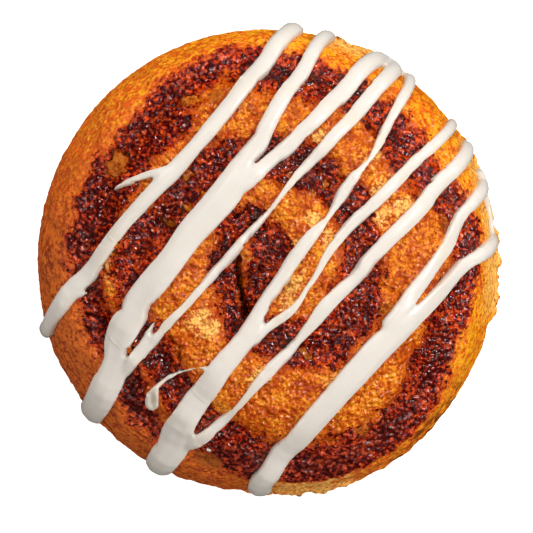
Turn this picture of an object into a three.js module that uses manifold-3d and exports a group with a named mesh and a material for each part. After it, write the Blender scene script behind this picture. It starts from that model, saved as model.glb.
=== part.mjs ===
// A cinnamon roll: one baked spiral of dough and cinnamon filling, with white icing drizzled over it.
// Units are millimetres, +Z is up, and the roll stands on z = 0 with the Z axis through the middle of its box.
import * as THREE from "three";
import { mergeVertices } from "three/addons/utils/BufferGeometryUtils.js";
import Module from "manifold-3d";

// Driving dimensions of the baked roll.
const CROWN_HEIGHT = 36; // top of the dough above the tray
const WAIST_HEIGHT = 13; // height of the widest line
const DOME_POWER = 3.5; // how squarely the dome turns down into the wall
const BASE_INSET = 3.6; // how far the flat base is drawn in from the widest line
const BASE_ROUNDING = 4; // height over which the wall turns in to the base
const FOOT_FLARE = 1.5; // how far the foot spreads past the dome on its front right
const FOOT_ANGLE = -Math.PI / 4;
// Radius of the widest line at every 30 degrees, from +X towards +Y.
const WAIST_RADII = [51.7, 52.2, 52.3, 52.5, 52.7, 52.5, 52.7, 53.3, 53.8, 52.9, 54.4, 52.8];
const MEAN_RADIUS = WAIST_RADII.reduce((sum, r) => sum + r, 0) / WAIST_RADII.length;

// The swirl: the middle of the band of filling on top, from the eye outwards, as plan points.
const GROOVE_DEPTH = 2.6;
const GROOVE_SPREAD = 3.0; // distance from its middle at which the groove has lost two thirds of its depth
const EYE = { x: -5.5, y: -8, depth: 3.2, spread: 3.6 };
const SWIRL = [
  [-1, -5], [1, 2], [-3, 7.5], [-9, 7], [-11, 0], [-9.5, -8], [-7, -15], [0, -19.5],
  [10, -20], [18, -13.5], [21, -4], [19.5, 6], [17, 13], [11, 20], [3, 24.5], [-7, 24.5],
  [-15, 20], [-22, 12], [-28, 4], [-30.5, -5], [-29.5, -14], [-25, -22], [-19, -30], [-11, -36.5],
  [-2, -42], [9, -45.5], [21, -42], [30, -34], [35, -25], [38, -16], [42, -7], [44, 3],
  [41, 13], [34.5, 20], [29.5, 27], [23, 34], [13, 39.5], [3, 43], [-7, 44], [-16, 40.5],
  [-24, 33.5], [-31.5, 26], [-36, 18], [-38.5, 9], [-41.5, 1], [-40, -8], [-36.5, -17], [-33, -26],
  [-27, -35], [-19, -43], [-9, -49],
];

// The mesh of the roll: segments round it, rings over the dome, the wall and the base.
const SEGMENTS = 64;
const DOME_RINGS = 20;
const WALL_RINGS = 4;
const ROUNDING_RINGS = 3;

// The icing. Each route holds plan points [x, y, width]. A drip is how far a route's start or end hangs
// down the wall below the widest line.
const CLEARANCE = 0.3; // gap between the icing and the dough, which are separate solids
const ICING_HEIGHT = 2.6; // thickness that a very wide strand reaches
const HEIGHT_WIDTH = 3; // width at which a strand has about two thirds of that
const ICING_SINK = 2.6; // how far a strand fills the hollows under it
const STEP = 2.8; // distance between sections
const SECTION_SIDES = 8;
const CAP_SECTIONS = 2; // sections that round each end

const LEFT_ICING = [
  {
    points: [[5.2, 51.6, 5.4], [2.4, 49, 4.8], [-2.6, 43, 4.6], [-7.3, 36.2, 4.1], [-12.2, 30.1, 4.1],
      [-16.8, 24.8, 3.7], [-21.3, 19.8, 4.2], [-25.5, 15.5, 3.9], [-32.9, 7.2, 3.5], [-39.1, -1, 4.1],
      [-43.6, -5.7, 4.9], [-46.3, -9.8, 4.9], [-48.6, -13, 4.2], [-49.8, -15.4, 4.4]],
    drips: [2, 3.5],
  },
  { points: [[-22, 19.8, 3], [-27, 18.9, 2], [-31, 17.5, 1.6], [-34.2, 16.3, 1.3], [-36.3, 15.6, 0.8]] },
  { points: [[-43.6, -7.6, 3], [-42, -7.8, 1.8], [-40.9, -7.2, 0.8]] },
];

const MIDDLE_ICING = [
  {
    points: [[13.2, 50.4, 4.3], [10.6, 47.7, 3.8], [8.1, 43.6, 4], [5.5, 39.8, 3.8], [2.8, 35.6, 4.2],
      [0.4, 31.4, 4.2], [-2.6, 25.8, 4.7], [-6.2, 20.8, 5.4], [-8.8, 15.7, 7.5], [-12.8, 11, 7.2],
      [-17.3, 6, 6.9], [-21.2, 0.4, 6.5], [-25.1, -4.5, 7], [-28.9, -9.2, 7.3], [-31.9, -14, 7.5],
      [-34.4, -19.3, 7], [-35.6, -24.6, 7.6], [-37.1, -29.5, 7.6], [-39.4, -33.6, 6.9]],
    drips: [3, 5],
  },
  {
    points: [[-6.6, 16, 4], [-3.2, 18.6, 4], [0, 21.8, 3.5], [3.6, 24.8, 4], [7, 28.2, 3.7], [10.4, 31.2, 4],
      [13.6, 34.8, 4.3], [16.9, 38.3, 4.6], [19.9, 41.7, 4.6], [22.8, 44.2, 4.8], [26, 45.2, 5.2],
      [28, 43.4, 4.6], [26.8, 41.2, 4.2], [24.1, 38.4, 4], [21, 34.8, 3.9], [18.4, 31.4, 3.6],
      [15.3, 28.4, 3.5], [12.3, 25, 3.4], [9.3, 22, 2.6], [6.3, 18.8, 2.3], [3.4, 15.2, 1.7],
      [1.4, 12.4, 1.5], [-1.7, 8.8, 1.7], [-5.6, 4.6, 2.2], [-9, 0.4, 2.6], [-11.6, -2.2, 2.6],
      [-14.2, -5.3, 2.3], [-19.2, -11, 2.1], [-22.1, -13.8, 2.5], [-25.3, -17.6, 2.2], [-29.8, -22, 3.1],
      [-34, -26, 4]],
  },
  { points: [[-30, -21.6, 2.6], [-28, -18, 1.9], [-26.6, -15.4, 1.2], [-25.3, -13.3, 0.8]] },
  { points: [[28.6, 43.4, 2.4], [30.4, 42.4, 1.8], [31.8, 41.4, 2.4]] },
  {
    points: [[31.8, 41.1, 3.4], [31.2, 38.6, 3], [29.5, 35.6, 3], [27.8, 32.2, 2.5], [26.3, 29.2, 2.3],
      [24.4, 25.8, 2.3], [22.9, 23, 1.6], [21.2, 21, 1.5], [18.9, 18.4, 2.8], [16.9, 15.5, 3.1],
      [15.3, 12.9, 2.5], [13.4, 9.8, 1.4], [12.2, 8.2, 2], [10, 6, 3.2], [6.6, 1.6, 3.6], [2.8, -4.5, 3.5],
      [-0.2, -8.3, 3.2], [-2.6, -12.6, 3.8], [-4.8, -17, 5], [-7.3, -20.1, 5.4], [-10.7, -24, 5.7],
      [-13.2, -27.8, 6], [-16, -31.4, 6.2], [-18.7, -35.2, 6.6], [-20.6, -39, 7.8], [-21.8, -42, 8.6],
      [-23.8, -44.8, 7.8], [-25.2, -47, 6.6]],
    drips: [1.5, 7],
  },
  {
    points: [[42.2, 31.4, 3], [40.3, 29.2, 3.1], [37.7, 26.5, 3.1], [31.6, 20.8, 3], [28.6, 17.8, 3.3],
      [22.5, 11.7, 3.2], [17.6, 7.2, 2.8], [13.1, 1.4, 2.3], [10.4, -3.6, 1.7], [8.1, -6.8, 1.5],
      [6.4, -9.8, 1.8], [3.9, -12.2, 2.5], [0, -14.8, 2.4], [-3.4, -17.8, 3]],
    drips: [2, 0],
  },
  {
    points: [[45.8, 26, 4.1], [43.7, 23.1, 4.1], [38.1, 16.7, 4.1], [32.4, 10.2, 4.1], [26.3, 4.2, 3.9],
      [19.9, -3.2, 3.7], [16.1, -6.8, 3.5], [12.3, -10.6, 3.9], [9.7, -14, 3.2], [7, -17.2, 2.4],
      [4.6, -20.3, 2.7], [0.8, -24, 3.3], [-2.3, -27.2, 2.8], [-5.4, -31, 1.9], [-8.1, -34.1, 1.9],
      [-11, -37, 2.5], [-14.4, -39.6, 3.2], [-18.4, -42, 4]],
    drips: [4.5, 0],
  },
  {
    points: [[-12.6, -24, 1.4], [-16.4, -24.1, 0.9], [-20.9, -25.7, 0.9], [-24.4, -27.6, 1.1],
      [-25.8, -29.6, 2.6], [-26.4, -31.8, 3.9], [-26.5, -32.8, 3.7]],
  },
];

const RIGHT_ICING = [
  {
    points: [[49, 20, 3.5], [48.2, 17.4, 3.8], [46.6, 14.2, 3.8], [44.5, 11, 3.5], [42.6, 7.6, 3.8],
      [40, 3.4, 3.6], [37.4, 0, 3.3], [35, -3.4, 3.6], [32.2, -7, 4], [29.6, -10.8, 4.1], [26.8, -14.4, 4.2]],
    drips: [2, 0],
  },
  {
    points: [[51.2, 4.4, 4.1], [49, 2.3, 4.2], [46.4, 0, 4.1], [43, -3, 4.2], [39.2, -6.4, 4.1],
      [35.8, -9.6, 4.1], [32, -13.2, 4.3], [28.2, -16.2, 6], [25.4, -18.6, 6.6], [22.3, -21.8, 6.6],
      [19.1, -25.4, 6.5], [15.7, -29.2, 6.1], [9.7, -36, 6], [6.6, -39.8, 5.7], [3.6, -43.6, 5.8],
      [0.6, -47.3, 6], [-1.8, -50, 5.9]],
    drips: [3, 4.5],
  },
  { points: [[49.2, 18.6, 2.2], [50.6, 14.6, 1.8], [51.6, 10.6, 1.6], [51.6, 5.4, 2.2]], drips: [2.5, 2.5] },
];

const FLECK = [{ points: [[-14.5, -42.7, 1], [-13.6, -43, 1.2], [-12.7, -43.4, 1]] }];

/** Radius of the widest line in a direction: a smooth curve through WAIST_RADII. */
function waistRadius(angle) {
  const count = WAIST_RADII.length;
  const place = (((angle / (2 * Math.PI)) % 1) + 1) % 1 * count;
  const index = Math.floor(place);
  const blend = 0.5 - 0.5 * Math.cos(Math.PI * (place - index));
  return THREE.MathUtils.lerp(WAIST_RADII[index % count], WAIST_RADII[(index + 1) % count], blend);
}

/** How far the foot stands out past the dome in a direction. */
function footFlare(angle) {
  return (FOOT_FLARE / 2) * (1 + Math.cos(angle - FOOT_ANGLE));
}

/** Height of the smooth dome at a share of the way out from the axis to the widest line. */
function domeHeight(share) {
  const rise = Math.sqrt(Math.max(0, 1 - share ** DOME_POWER));
  return WAIST_HEIGHT + (CROWN_HEIGHT - WAIST_HEIGHT) * rise;
}

const swirlCurve = new THREE.CatmullRomCurve3(SWIRL.map(([x, y]) => new THREE.Vector3(x, y, 0)));
const swirlPoints = swirlCurve.getSpacedPoints(SWIRL.length * 8);

/** Height of the relief at a plan point: the groove that holds the filling, and the eye of the swirl. */
function reliefAt(x, y) {
  const square = Math.min(...swirlPoints.map((p) => (p.x - x) ** 2 + (p.y - y) ** 2));
  const fromEye = (x - EYE.x) ** 2 + (y - EYE.y) ** 2;
  const groove = GROOVE_DEPTH * Math.exp(-square / GROOVE_SPREAD ** 2);
  return -groove - EYE.depth * Math.exp(-fromEye / EYE.spread ** 2);
}

// The dome's outline, walked from the crown to the widest line, as pairs of run (distance walked) and share.
const OUTLINE = [{ run: 0, share: 0 }];
for (let i = 1; i <= 200; i++) {
  const share = Math.sin((i / 200) * (Math.PI / 2));
  const last = OUTLINE[i - 1];
  const out = (share - last.share) * MEAN_RADIUS;
  const down = domeHeight(last.share) - domeHeight(share);
  OUTLINE.push({ run: last.run + Math.hypot(out, down), share });
}
const RUN_TO_WAIST = OUTLINE[OUTLINE.length - 1].run;

/** Reads one column of OUTLINE at a value of the other. */
function readOutline(known, value, wanted) {
  const after = OUTLINE.findIndex((row) => row[known] >= value);
  if (after <= 0) return OUTLINE[0][wanted];
  const [a, b] = [OUTLINE[after - 1], OUTLINE[after]];
  return THREE.MathUtils.mapLinear(value, a[known], b[known], a[wanted], b[wanted]);
}

/** The point on the smooth dome or wall at a distance walked down from the crown. */
function walk(angle, run) {
  const onWall = run >= RUN_TO_WAIST;
  const share = onWall ? 1 : readOutline("run", run, "share");
  const radius = share * (waistRadius(angle) - footFlare(angle));
  const z = onWall ? WAIST_HEIGHT - (run - RUN_TO_WAIST) : domeHeight(share);
  return new THREE.Vector3(radius * Math.cos(angle), radius * Math.sin(angle), z);
}

/** The outward direction there. */
function outward(angle, run) {
  const near = walk(angle, Math.max(0, run - 0.5));
  const far = walk(angle, run + 0.5);
  const out = Math.hypot(far.x, far.y) - Math.hypot(near.x, near.y);
  const down = near.z - far.z;
  return new THREE.Vector3(down * Math.cos(angle), down * Math.sin(angle), out).normalize();
}

/** The baked roll's closed surface, each vertex moved outwards by grow. */
function rollGeometry(grow = 0) {
  const positions = [0, 0, domeHeight(0) + reliefAt(0, 0) + grow];
  const ring = (place) => {
    for (let i = 0; i < SEGMENTS; i++) {
      const angle = (i / SEGMENTS) * 2 * Math.PI;
      positions.push(...place(angle).toArray());
    }
  };
  for (let k = 1; k <= DOME_RINGS; k++) {
    const run = (RUN_TO_WAIST * k) / DOME_RINGS;
    ring((angle) => {
      const point = walk(angle, run);
      const fade = 1 - readOutline("run", Math.min(run, RUN_TO_WAIST), "share") ** 12;
      const lift = reliefAt(point.x, point.y) * fade + grow;
      return point.addScaledVector(outward(angle, run), lift);
    });
  }
  const side = (angle, radius, z) => new THREE.Vector3(radius * Math.cos(angle), radius * Math.sin(angle), z);
  for (let k = 1; k <= WALL_RINGS; k++) {
    const share = k / WALL_RINGS;
    const z = THREE.MathUtils.lerp(WAIST_HEIGHT, BASE_ROUNDING, share);
    ring((angle) => side(angle, waistRadius(angle) - footFlare(angle) * (1 - share) + grow, z));
  }
  for (let k = 1; k <= ROUNDING_RINGS; k++) {
    const turn = (k / ROUNDING_RINGS) * (Math.PI / 2);
    const inset = BASE_INSET * (1 - Math.cos(turn));
    const z = BASE_ROUNDING * (1 - Math.sin(turn)) - (k === ROUNDING_RINGS ? grow : 0);
    ring((angle) => side(angle, waistRadius(angle) - inset + grow, z));
  }
  positions.push(0, 0, -grow);

  const rings = DOME_RINGS + WALL_RINGS + ROUNDING_RINGS;
  const last = positions.length / 3 - 1;
  const at = (k, i) => 1 + k * SEGMENTS + (i % SEGMENTS);
  const faces = [];
  for (let i = 0; i < SEGMENTS; i++) {
    faces.push(0, at(0, i), at(0, i + 1));
    for (let k = 0; k < rings - 1; k++) {
      faces.push(at(k, i), at(k + 1, i), at(k + 1, i + 1));
      faces.push(at(k, i), at(k + 1, i + 1), at(k, i + 1));
    }
    faces.push(at(rings - 1, i), last, at(rings - 1, i + 1));
  }
  return new THREE.BufferGeometry()
    .setAttribute("position", new THREE.Float32BufferAttribute(positions, 3))
    .setIndex(faces);
}

/** A route laid out flat: each plan point at its walked distance from the crown, with its width as z. */
function flatRoute({ points, drips = [0, 0] }) {
  const flat = points.map(([x, y, width]) => {
    const angle = Math.atan2(y, x);
    const share = Math.min(1, Math.hypot(x, y) / (waistRadius(angle) - footFlare(angle)));
    const run = readOutline("share", share, "run");
    return new THREE.Vector3(run * Math.cos(angle), run * Math.sin(angle), width);
  });
  const hang = (point, drip) => {
    const angle = Math.atan2(point.y, point.x);
    const run = RUN_TO_WAIST + drip;
    return new THREE.Vector3(run * Math.cos(angle), run * Math.sin(angle), point.z);
  };
  if (drips[0]) flat.unshift(hang(flat[0], drips[0]));
  if (drips[1]) flat.push(hang(flat[flat.length - 1], drips[1]));
  return new THREE.CatmullRomCurve3(flat, false, "centripetal");
}

/** Evens out the dips along a strand, which bridges them, but never sinks it below what it lies on. */
function settle(lifts) {
  const even = lifts.map((lift, i) => {
    const before = lifts[Math.max(0, i - 1)];
    const after = lifts[Math.min(lifts.length - 1, i + 1)];
    return (before + 2 * lift + after) / 4;
  });
  return even.map((value, i) => Math.max(value, lifts[i]));
}

/** Thickness of a strand of a given width. */
function strandHeight(width) {
  return ICING_HEIGHT * (1 - Math.exp(-width / HEIGHT_WIDTH));
}

/** One strand of icing along a route, as a closed bead that lies on the roll and runs a little into it. */
function strandGeometry(route) {
  const curve = flatRoute(route);
  const count = Math.max(3, Math.round(curve.getLength() / STEP));
  const flat = curve.getSpacedPoints(count);
  const places = flat.map((p) => ({ angle: Math.atan2(p.y, p.x), run: Math.hypot(p.x, p.y), width: p.z }));
  const lifts = settle(places.map(({ angle, run }) => {
    const point = walk(angle, run);
    return run < RUN_TO_WAIST ? reliefAt(point.x, point.y) : 0;
  }));
  const sections = places.map(({ angle, run, width }, i) => {
    const up = outward(angle, run);
    return { centre: walk(angle, run).addScaledVector(up, lifts[i]), up, width };
  });
  sections.forEach((section, i) => {
    const before = sections[Math.max(0, i - 1)].centre;
    const after = sections[Math.min(sections.length - 1, i + 1)].centre;
    section.along = after.clone().sub(before).normalize();
    section.size = 1;
  });

  const cap = (section, direction) => {
    const made = [];
    for (let k = 1; k <= CAP_SECTIONS; k++) {
      const turn = (k / (CAP_SECTIONS + 1)) * (Math.PI / 2);
      const reach = direction * (section.width / 2) * Math.sin(turn);
      const centre = section.centre.clone().addScaledVector(section.along, reach);
      made.push({ ...section, centre, size: Math.cos(turn) });
    }
    return made;
  };
  const tip = (section, direction) => {
    const reach = direction * (section.width / 2);
    return section.centre.clone().addScaledVector(section.along, reach);
  };
  const first = sections[0];
  const end = sections[sections.length - 1];
  const all = [...cap(first, -1).reverse(), ...sections, ...cap(end, 1)];

  const positions = tip(first, -1).toArray();
  for (const { centre, up, along, width, size } of all) {
    const across = new THREE.Vector3().crossVectors(up, along).normalize();
    for (let k = 0; k < SECTION_SIDES; k++) {
      const turn = ((k + 0.5) / SECTION_SIDES) * 2 * Math.PI;
      const tall = Math.sin(turn) > 0 ? strandHeight(width) : Math.min(ICING_SINK, width);
      const point = centre.clone().addScaledVector(across, (width / 2) * size * Math.cos(turn));
      positions.push(...point.addScaledVector(up, tall * size * Math.sin(turn)).toArray());
    }
  }
  positions.push(...tip(end, 1).toArray());

  const last = positions.length / 3 - 1;
  const at = (section, k) => 1 + section * SECTION_SIDES + (k % SECTION_SIDES);
  const faces = [];
  for (let k = 0; k < SECTION_SIDES; k++) {
    faces.push(0, at(0, k + 1), at(0, k));
    for (let i = 0; i < all.length - 1; i++) {
      faces.push(at(i, k), at(i, k + 1), at(i + 1, k + 1));
      faces.push(at(i, k), at(i + 1, k + 1), at(i + 1, k));
    }
    faces.push(last, at(all.length - 1, k), at(all.length - 1, k + 1));
  }
  return new THREE.BufferGeometry()
    .setAttribute("position", new THREE.Float32BufferAttribute(positions, 3))
    .setIndex(faces);
}

const wasm = await Module();
wasm.setup();

/** A closed geometry as a solid that can be joined and cut. */
function toSolid(geometry) {
  const merged = mergeVertices(geometry);
  return new wasm.Manifold(new wasm.Mesh({
    numProp: 3,
    vertProperties: merged.attributes.position.array,
    triVerts: new Uint32Array(merged.index.array),
  }));
}

/** A solid's surface as a geometry. */
function toGeometry(solid) {
  const mesh = solid.getMesh();
  return new THREE.BufferGeometry()
    .setAttribute("position", new THREE.BufferAttribute(mesh.vertProperties, 3))
    .setIndex(new THREE.BufferAttribute(mesh.triVerts, 1));
}

/** The strands of one connected run of icing, joined, and cut clear of the dough under them. */
function icingGeometry(routes) {
  const dough = toSolid(rollGeometry(CLEARANCE));
  const strands = routes.map((route) => toSolid(strandGeometry(route)));
  const joined = strands.reduce((whole, strand) => whole.add(strand));
  return toGeometry(joined.subtract(dough));
}

const bakedDough = new THREE.MeshStandardMaterial({ color: 0xc8752d, roughness: 0.55, metalness: 0 });
const whiteIcing = new THREE.MeshStandardMaterial({ color: 0xf4efe7, roughness: 0.35, metalness: 0 });

/** A named piece of the roll. */
function piece(name, geometry, material) {
  const mesh = new THREE.Mesh(geometry, material);
  mesh.name = name;
  return mesh;
}

const cinnamonRoll = new THREE.Group();
cinnamonRoll.add(
  piece("baked_roll", rollGeometry(), bakedDough),
  piece("icing_left", icingGeometry(LEFT_ICING), whiteIcing),
  piece("icing_middle", icingGeometry(MIDDLE_ICING), whiteIcing),
  piece("icing_right", icingGeometry(RIGHT_ICING), whiteIcing),
  piece("icing_fleck", icingGeometry(FLECK), whiteIcing),
);

// The Z axis goes through the middle of the whole, icing included.
const middle = new THREE.Box3().setFromObject(cinnamonRoll).getCenter(new THREE.Vector3());
cinnamonRoll.position.set(-middle.x, -middle.y, 0);

export default cinnamonRoll;
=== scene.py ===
"""A cinnamon roll: dough and cinnamon filling baked in a spiral, with white icing poured across its top.

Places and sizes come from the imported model. Points and sizes named mm are millimetres, and the rest are metres.
"""

import logging
import math
from dataclasses import dataclass
from enum import Enum
from typing import Any, Sequence

import bpy
import numpy as np
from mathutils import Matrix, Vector, noise
from mathutils.bvhtree import BVHTree


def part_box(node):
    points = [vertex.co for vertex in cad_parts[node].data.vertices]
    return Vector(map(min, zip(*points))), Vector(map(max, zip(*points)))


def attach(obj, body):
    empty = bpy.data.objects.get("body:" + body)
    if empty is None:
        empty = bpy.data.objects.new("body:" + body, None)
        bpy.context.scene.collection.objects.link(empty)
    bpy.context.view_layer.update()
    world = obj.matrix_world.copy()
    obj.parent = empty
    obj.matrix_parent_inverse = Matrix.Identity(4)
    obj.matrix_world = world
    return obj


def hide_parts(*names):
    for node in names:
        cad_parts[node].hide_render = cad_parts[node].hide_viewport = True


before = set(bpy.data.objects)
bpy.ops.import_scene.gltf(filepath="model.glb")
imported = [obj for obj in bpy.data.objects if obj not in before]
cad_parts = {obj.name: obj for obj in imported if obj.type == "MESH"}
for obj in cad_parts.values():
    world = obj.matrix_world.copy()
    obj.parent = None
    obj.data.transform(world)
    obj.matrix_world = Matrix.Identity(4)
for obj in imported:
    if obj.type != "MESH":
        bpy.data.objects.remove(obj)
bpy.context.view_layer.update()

log = logging.getLogger("cinnamon_roll")

MM = 0.001
Array = np.ndarray
Colour = tuple[float, float, float]
Pair = tuple[float, float]
Socket = bpy.types.NodeSocket
Material = bpy.types.Material

# Where the plan's origin lies from the middle of the baked roll's box.
PLAN_OFFSET_MM = (0.5, 0.2)

# The band of filling on top, from the eye outwards: plan x, y and half the band's width.
SWIRL_MM = [
    (-3, -9, 3.0), (-2, -5, 4.0), (0, 2.5, 4.0), (-3.5, 7.5, 3.6), (-8.5, 6.5, 3.0), (-10, 0, 2.4),
    (-8.8, -8, 2.8), (-6.8, -14.5, 3.2), (1, -17.5, 4.4), (10.5, -19.5, 4.8), (18, -13, 5.2), (20.5, -4, 5.0),
    (19.5, 5, 4.4), (17, 13, 4.2), (11.5, 18.5, 4.8), (3, 22, 4.8), (-8, 23.5, 3.6), (-15.5, 18.5, 4.8),
    (-21.5, 11.5, 5.0), (-27.5, 4, 4.8), (-30, -4, 4.0), (-29, -13.5, 3.8), (-25, -21.5, 4.0),
    (-20.5, -29, 3.8), (-13, -37.5, 4.2), (-6, -43.5, 5.2), (8, -46.5, 4.8), (21, -42.5, 4.6),
    (30.5, -34.5, 4.4), (35.5, -25, 4.2), (38.8, -15.5, 4.0), (42.3, -7.5, 3.4), (44.5, 3, 3.0),
    (40.5, 12.5, 3.8), (34.5, 19.2, 3.6), (29, 26.5, 4.2), (23.5, 33.5, 3.4), (12.5, 39.5, 4.0), (2.5, 42, 4.2),
    (-8.5, 44.2, 3.3), (-16.5, 40.5, 3.2), (-23, 33, 5.0), (-30.5, 25, 5.2), (-35.5, 17.5, 4.8), (-39, 9, 4.2),
    (-42, 1, 4.0), (-40, -8.5, 3.0), (-36.3, -17, 2.8), (-31.5, -27, 3.2), (-29.3, -33.3, 2.6), (-24, -40, 1.0),
]


class Layer(Enum):
    """What is painted on a mesh for its material to read."""

    SWIRL = "swirl"
    # Painted shade, darkest in the creases and along the lower-right rim.
    CAVITY = "painted_shade"
    BLISTER = "blister"
    # Pale cream: painted highlight in patches on the top, partly paler dough, and the paler dough of the foot and
    # ledges.
    PALE = "pale"
    # Painted shade on the side away from the key light, partly browner baking.
    TOAST_AND_SHADE = "toast_and_shade"
    CRUST = "crust"
    STREAK = "streak"
    THIN = "thin"
    WRINKLE = "wrinkle"


@dataclass(frozen=True)
class Crease:
    """A split in the crust along a line of plan points."""

    points_mm: Sequence[Pair]
    half_width_mm: float
    depth_mm: float


@dataclass(frozen=True)
class Spot:
    """A patch of the top: an ellipse in plan, turned anticlockwise."""

    x_mm: float
    y_mm: float
    length_mm: float
    width_mm: float
    turn: float = 0.0


@dataclass(frozen=True)
class Ledge:
    """A stretch of the foot where dough spread out over the tray: its bearing, half its angle and its reach."""

    bearing: float
    half_angle: float
    reach_mm: float


# The splits in the dough, in plan.
CREASES = [
    Crease([(-7.4, 1.5), (-7.1, -1), (-6.8, -5), (-6.0, -9), (-5.4, -11.5), (-4.6, -13)], 0.55, 2.6),
    Crease([(-5.7, -10.2), (-5.1, -12.4)], 0.9, 3.2),
    Crease([(-7.2, 9.6), (-6.3, 10.4), (-5.0, 10.9)], 0.4, 2.4),
    Crease([(-2.1, -1.4), (-1.9, -1.9)], 0.4, 2.2),
    Crease([(-41, -12.2), (-38.5, -12.8), (-36.2, -14.6)], 0.42, 2.0),
    Crease([(-22.2, -17.6), (-20, -19.8), (-19.8, -22.5)], 0.4, 1.8),
    Crease([(21.8, 31.2), (23.6, 29), (24.3, 27.8)], 0.4, 1.8),
    Crease([(24.8, -5.6), (27.6, -6.4)], 0.45, 1.0),
    Crease([(-24.6, 8.8), (-22.8, 8.4), (-20.4, 6.2)], 0.45, 1.8),
    Crease([(-36, 2.2), (-34, 1.4), (-32, 1.6)], 0.4, 1.5),
    Crease([(-34, -29.5), (-30.5, -33.4), (-26.8, -36.2)], 0.45, 1.6),
    Crease([(12.5, -41.2), (19, -38.6), (25, -34.5), (30, -30)], 0.5, 1.2),
    Crease([(22.5, -47.8), (29.5, -43.4), (36, -37)], 0.5, 1.2),
    Crease([(10, -6.6), (12.5, -5.6), (15, -7.4)], 0.35, 1.2),
]

# Smooth, see-through swellings of dough.
BLISTERS = [
    Spot(-12, 36.7, 4.6, 2.4, 0.45), Spot(-17.8, 35.8, 3.4, 2.2, 0.2), Spot(-34, 21.6, 5.8, 4.0, 1.1),
    Spot(-18.3, 18.6, 2.4, 1.6, 0.5), Spot(-17.4, 11, 3.4, 1.9, -0.9), Spot(-22, 8.2, 2.8, 1.6, -0.5),
    Spot(4.6, 19.2, 1.9, 1.3, 0.8), Spot(9.4, 14.9, 1.4, 1.8), Spot(12.8, 17.4, 2.4, 1.2, -0.8),
    Spot(39, 8, 3.0, 2.4, 1.2), Spot(8, -20.6, 2.8, 1.4, -0.6), Spot(26, -11, 2.8, 1.6, 0.9),
    Spot(-5.2, 0.9, 3.0, 1.8, -0.6), Spot(-13.6, -44.9, 6.4, 2.6, -0.4), Spot(21, -38, 3.4, 1.4, 0.5),
    Spot(-13.5, 14.5, 2.0, 1.4, 0.3),
]

# Patches of the top painted pale cream: painted highlight where the top catches the light, partly paler dough.
PALE_AND_HIGHLIGHT_SPOTS = [
    Spot(6, 2, 6, 5, 0.8), Spot(5, -6, 9, 3.4, 1.1), Spot(4, -10, 5, 3, 1.0), Spot(25, 15, 9, 5, 0.8),
    Spot(-12, 20, 7, 3, 0.6), Spot(24, 9, 8, 5, 0.7), Spot(30, 12, 7, 4, 0.8), Spot(-24, 3, 4, 7),
    Spot(-35.5, -3, 2.4, 8, 0.1), Spot(-16, -13, 7, 4, 0.7), Spot(-13, -15, 6, 5, 0.4), Spot(8, 20, 6, 4, 0.8),
    Spot(11, 27, 6, 3, 0.8), Spot(22, 22, 7, 3, 0.8), Spot(15, -27, 8, 4, 0.8), Spot(-28, 13, 7, 3, 0.9),
    Spot(-24, 19, 7, 3, 0.8), Spot(13, 4, 3, 6), Spot(10, 9, 4, 4), Spot(-2, -26, 8, 4, 0.5),
]

# How much the outer crust is browned and darkened, at bearings in degrees from +X: painted shade on the side away
# from the key light, partly browner baking.
TOAST_AND_SHADE_BEARINGS = [0, 45, 90, 125, 150, 180, 225, 250, 280, 300, 330, 360]
TOAST_AND_SHADE = [0.0, 0.2, 0.12, 0.34, 0.5, 0.85, 0.9, 0.8, 0.5, 0.42, 0.12, 0.0]

# Where dough spread out at the foot.
LEDGES = [Ledge(-0.06, 0.20, 1.6), Ledge(-1.42, 0.24, 1.2), Ledge(1.20, 0.16, 1.3), Ledge(0.35, 0.25, 0.7)]

# Fine wrinkles across the icing.
WRINKLES = [
    [(-17.4, -28.7), (-16.6, -29.6), (-15.4, -30.9), (-13.6, -32.2)],
    [(-36.0, -16.6), (-34.9, -18.3), (-33.6, -19.3)],
    [(-35.7, 5.1), (-34.6, 4.0)],
    [(-21.6, -4.6), (-22.6, -6.6), (-21.8, -8.0)],
]

# The hollow in the icing, at the end of its curl.
HOLLOW = Spot(-26.0, -31.7, 1.5, 3.0, 0.1)


def smoothstep(values: Array, low: float, high: float) -> Array:
    """Rises smoothly from 0 at low to 1 at high, or falls if high is the lower."""
    share = np.clip((values - low) / (high - low), 0, 1)
    return share * share * (3 - 2 * share)


def lumps(points: Array, size: float, layers: int = 1, shift: float = 0.0) -> Array:
    """Soft lumps this far apart, with layers of smaller ones: a number round zero at each point."""
    return np.array([noise.fractal(Vector(point), 1.0, 2.0, layers) for point in points / size + shift])


@dataclass(frozen=True)
class Relief:
    """Soft lumps: how high they rise, how far apart they are, how many sizes there are, and what moves them."""

    height_mm: float
    size_mm: float
    layers: int = 2
    shift: float = 0.0

    def at(self, points: Array) -> Array:
        """The height at each point, above or below zero."""
        return self.height_mm * lumps(points, self.size_mm, self.layers, self.shift)


def pebbles(points: Array, size: float, shift: float = 0.0) -> tuple[Array, Array]:
    """Packed grains.

    Args:
        points: the points, one to a row.
        size: how far apart the grains are.
        shift: moves the grains, so that two calls differ.

    Returns:
        The distance from the middle of the nearest grain, as a share of size, and that grain's own number
        from 0 to 1.
    """
    found = [noise.voronoi(Vector(point)) for point in points / size + shift]
    distances = np.array([distance[0] for distance, _ in found])
    own = np.array([noise.cell(near[0] * 7.13) for _, near in found])
    return distances, own / 2 + 0.5


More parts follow.
